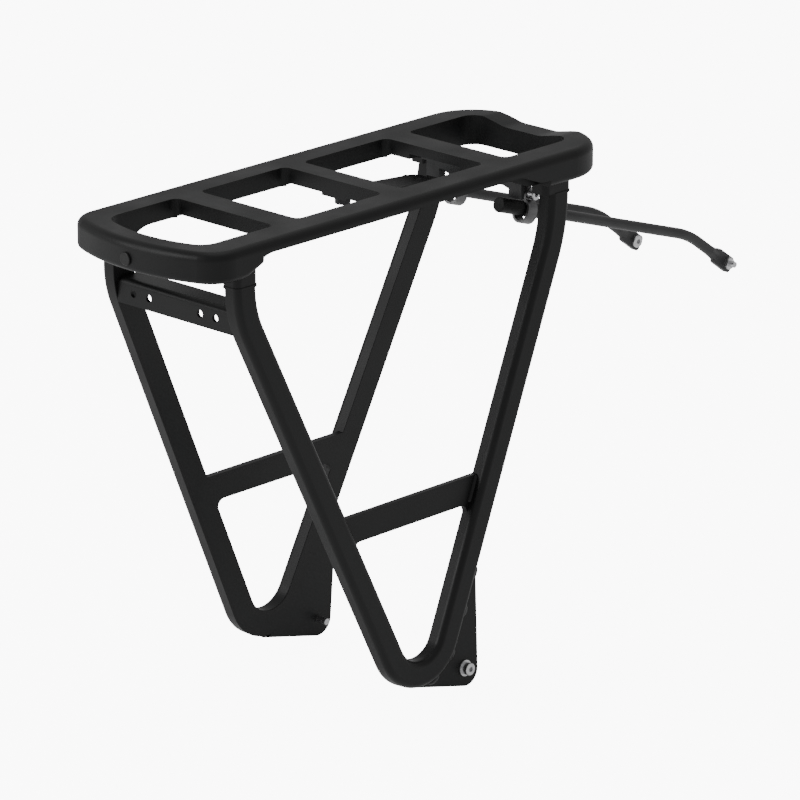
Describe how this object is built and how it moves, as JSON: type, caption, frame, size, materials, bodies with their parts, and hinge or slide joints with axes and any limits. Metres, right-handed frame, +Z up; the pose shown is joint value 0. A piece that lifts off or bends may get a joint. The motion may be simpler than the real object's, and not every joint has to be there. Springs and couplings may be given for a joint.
{
  "type": "bicycle rear rack",
  "caption": "Bicycle rear rack with a windowed platform on two bent-tube side frames and adjustable stay rods.",
  "frame": {"origin": "midway between the two foot bolts, on the axis of the dropout eyelets", "axes": "+X forward along the bicycle, +Y to the bicycle's left, +Z up"},
  "size_m": [0.5913, 0.1674, 0.3732],
  "materials": {
    "casting_paint": "satin black powder coat",
    "tube_paint": "satin black powder coat",
    "weld_paint": "satin black powder coat over a weld bead",
    "bolt_steel": "bright zinc",
    "plug_plastic": "matte",
    "black_screw": "blackened",
    "grey_bracket": "grey coating",
    "clip_steel": "plain zinc",
    "rod_aluminium": "satin dark grey anodised",
    "sleeve_rubber": "matte"
  },
  "bodies": {
    "rack": {"platform": "casting_paint", "left_v_tube": "tube_paint", "right_v_tube": "tube_paint", "left_side_rail": "tube_paint", "right_side_rail": "tube_paint", "left_foot_plate": "tube_paint", "right_foot_plate": "tube_paint", "left_leg_welds": "weld_paint", "right_leg_welds": "weld_paint", "left_rail_welds": "weld_paint", "right_rail_welds": "weld_paint", "left_foot_welds": "weld_paint", "right_foot_welds": "weld_paint", "foot_bolts": "bolt_steel", "foot_washers": "bolt_steel", "rear_light_bracket": "tube_paint", "rear_plug": "plug_plastic", "mudguard_bracket": "tube_paint", "mudguard_bracket_screw": "black_screw", "stay_bracket": "grey_bracket", "stay_clip_bolts": "bolt_steel", "stay_clip_washers": "bolt_steel", "stay_clip_nuts": "bolt_steel"},
    "left_clip": {"left_stay_clip": "clip_steel"},
    "left_rod": {"left_stay_rod": "rod_aluminium", "left_stay_sleeve": "sleeve_rubber", "left_stay_tip_bolt": "bolt_steel", "left_stay_tip_nut": "bolt_steel"},
    "right_clip": {"right_stay_clip": "clip_steel"},
    "right_rod": {"right_stay_rod": "rod_aluminium", "right_stay_sleeve": "sleeve_rubber", "right_stay_tip_bolt": "bolt_steel", "right_stay_tip_nut": "bolt_steel"}
  },
  "joints": [
    {"name": "left_clip_tilt", "type": "hinge", "parent": "rack", "child": "left_clip", "pos_m": [0.10967, 0.034, 0.32222], "axis": [0, 1, 0], "range_deg": [-20, 3]},
    {"name": "left_rod_slide", "type": "slide", "parent": "left_clip", "child": "left_rod", "axis": [0.9505, 0, -0.3107], "range_m": [0, 0.051]},
    {"name": "right_clip_tilt", "type": "hinge", "parent": "rack", "child": "right_clip", "pos_m": [0.10967, -0.034, 0.32222], "axis": [0, 1, 0], "range_deg": [-20, 3]},
    {"name": "right_rod_slide", "type": "slide", "parent": "right_clip", "child": "right_rod", "axis": [0.9505, 0, -0.3107], "range_m": [-0.027, 0.024]}
  ]
}
